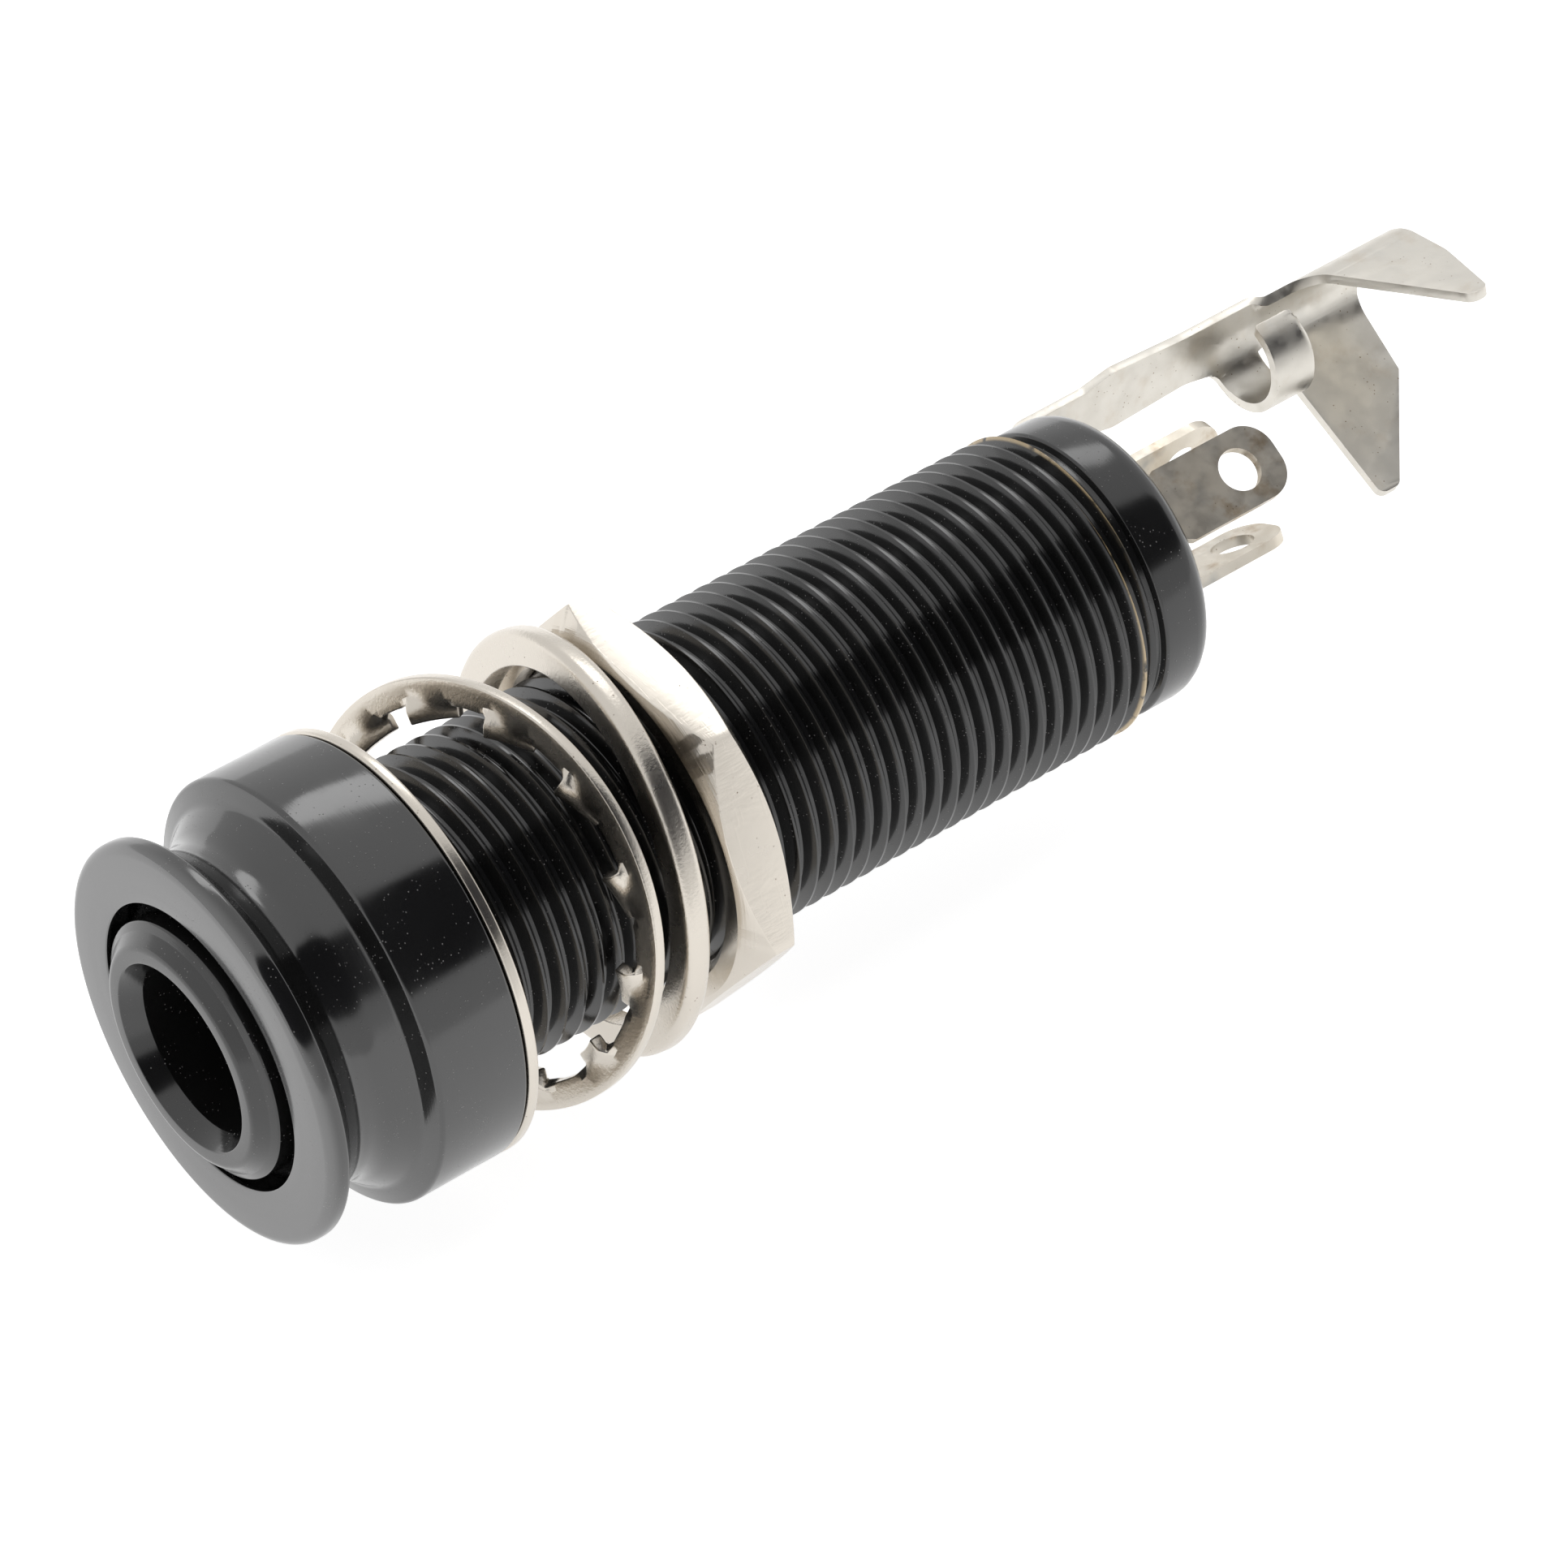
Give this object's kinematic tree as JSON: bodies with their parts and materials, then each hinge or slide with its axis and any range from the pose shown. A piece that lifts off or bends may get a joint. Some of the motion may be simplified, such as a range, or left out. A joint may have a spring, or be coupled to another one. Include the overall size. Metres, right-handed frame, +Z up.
{
  "type": "guitar endpin jack",
  "caption": "Threaded barrel output socket for an acoustic guitar, with a strap button, washers, a hex nut, solder lugs and a clawed ground strip.",
  "frame": {"origin": "on the barrel's axis, at the button washer's rear face, which seats on the instrument", "axes": "+X along the barrel from the plug mouth to the rear, +Z up, +Y towards the side that carries the ground strip"},
  "size_m": [0.0611, 0.0164, 0.0164],
  "materials": {
    "black_plating": "glossy black plating on brass",
    "nickel": "bright nickel plating",
    "tinned": "tinned brass with some tarnish",
    "spring_bronze": "satin spring bronze",
    "fish_paper": "matt insulating paper",
    "phenolic": "brown phenolic board"
  },
  "bodies": {
    "barrel": {"barrel_shell": "black_plating", "insulating_liner": "fish_paper", "front_wafer": "phenolic", "tip_wafer": "phenolic", "ring_wafer": "phenolic", "rear_insulator": "phenolic", "tip_terminal": "tinned", "ring_terminal": "tinned", "switch_terminal": "tinned", "ground_clamp": "tinned"},
    "button_seat": {"button_washer": "nickel"},
    "button": {"strap_button": "black_plating"},
    "lock_washer": {"lock_washer": "nickel"},
    "nut_seat": {"flat_washer": "nickel"},
    "nut": {"hex_nut": "nickel"},
    "tip_leaf": {"tip_leaf": "spring_bronze"},
    "ring_leaf": {"ring_leaf": "spring_bronze"},
    "switch_leaf": {"switch_leaf": "spring_bronze"}
  },
  "joints": [
    {"name": "button_advance", "type": "slide", "parent": "barrel", "child": "button_seat", "axis": [1, 0, 0], "range_m": [-0.008, 0.0006]},
    {"name": "button_turn", "type": "hinge", "parent": "button_seat", "child": "button", "pos_m": [0, 0, 0], "axis": [1, 0, 0], "range_deg": [-3630, 273]},
    {"name": "lock_washer_slide", "type": "slide", "parent": "barrel", "child": "lock_washer", "axis": [1, 0, 0], "range_m": [-0.0009, 0.0004]},
    {"name": "nut_advance", "type": "slide", "parent": "barrel", "child": "nut_seat", "axis": [1, 0, 0], "range_m": [-0.0003, 0.0178]},
    {"name": "nut_turn", "type": "hinge", "parent": "nut_seat", "child": "nut", "pos_m": [0, 0, 0], "axis": [1, 0, 0], "range_deg": [-137, 8075]},
    {"name": "tip_leaf_flex", "type": "hinge", "parent": "barrel", "child": "tip_leaf", "pos_m": [0.0237, -0.00198, 0.00342], "axis": [0, 0.866, 0.5], "range_deg": [0, 6], "stiffness_Nm_per_rad": 0.05, "springref_deg": -1.15},
    {"name": "ring_leaf_flex", "type": "hinge", "parent": "barrel", "child": "ring_leaf", "pos_m": [0.0237, -0.00198, -0.00342], "axis": [0, -0.866, 0.5], "range_deg": [0, 2.4], "stiffness_Nm_per_rad": 0.15, "springref_deg": -1.15},
    {"name": "switch_leaf_flex", "type": "hinge", "parent": "barrel", "child": "switch_leaf", "pos_m": [0.0237, 0.00395, 0], "axis": [0, 0, -1], "range_deg": [0, 1.4], "stiffness_Nm_per_rad": 0.3, "springref_deg": -1.15}
  ],
  "couplings": [
    {"joint": "button_turn", "follows": "button_advance", "rad_per_m": 7915.8},
    {"joint": "nut_turn", "follows": "nut_advance", "rad_per_m": 7915.8}
  ]
}
